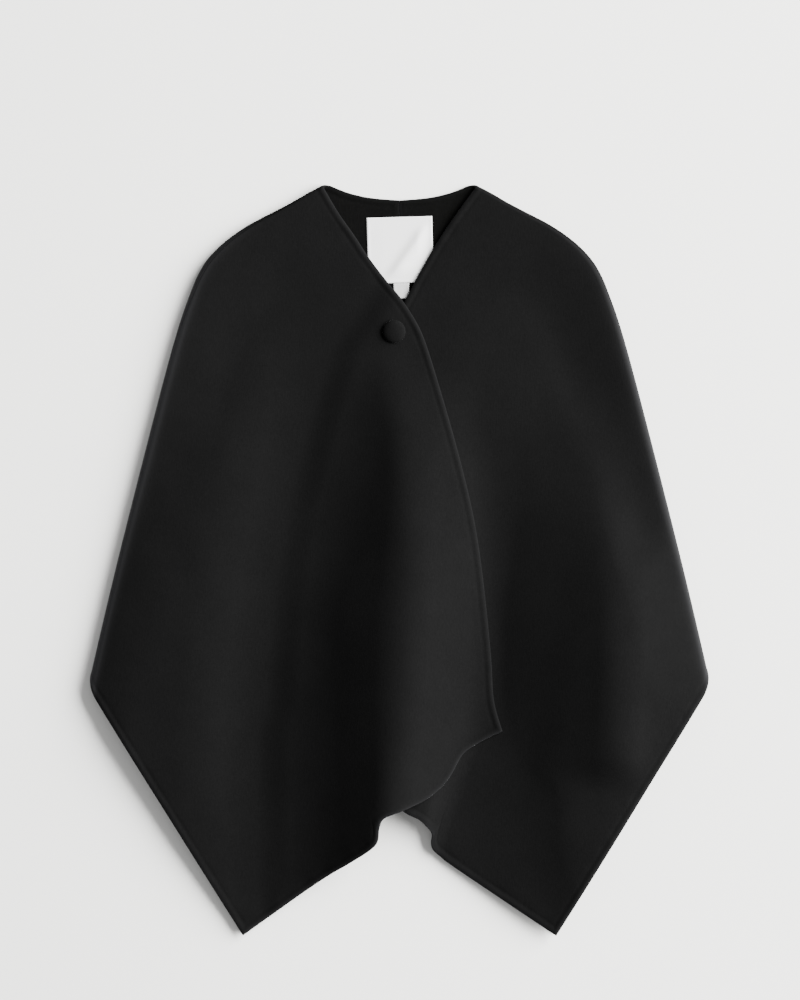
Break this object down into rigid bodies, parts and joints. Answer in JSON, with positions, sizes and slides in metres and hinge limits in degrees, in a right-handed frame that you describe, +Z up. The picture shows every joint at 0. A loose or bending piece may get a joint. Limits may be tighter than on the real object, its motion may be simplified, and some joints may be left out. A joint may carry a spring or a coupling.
{
  "type": "wool cloak",
  "caption": "Open-front wool cloak laid flat with its front up, one front lapped over the other and fastened by a covered button at a V neck, with a pointed hem.",
  "frame": {"origin": "on the surface that the cloak lies on, below the middle of its bounding box", "axes": "+Z up from the surface, +Y towards the neck along the longest extent, +X towards the wearer's left"},
  "size_m": [0.7422, 0.9005, 0.0565],
  "materials": {
    "wool": "black double-faced wool with a short brushed nap",
    "thread": "black sewing thread",
    "label_satin": "white woven satin ribbon, bare"
  },
  "bodies": {
    "root": {"right_back": "wool", "left_back": "wool", "right_front": "wool", "left_front": "wool", "button": "wool", "button_shank": "thread", "neck_label": "label_satin", "care_label": "label_satin"}
  },
  "joints": []
}
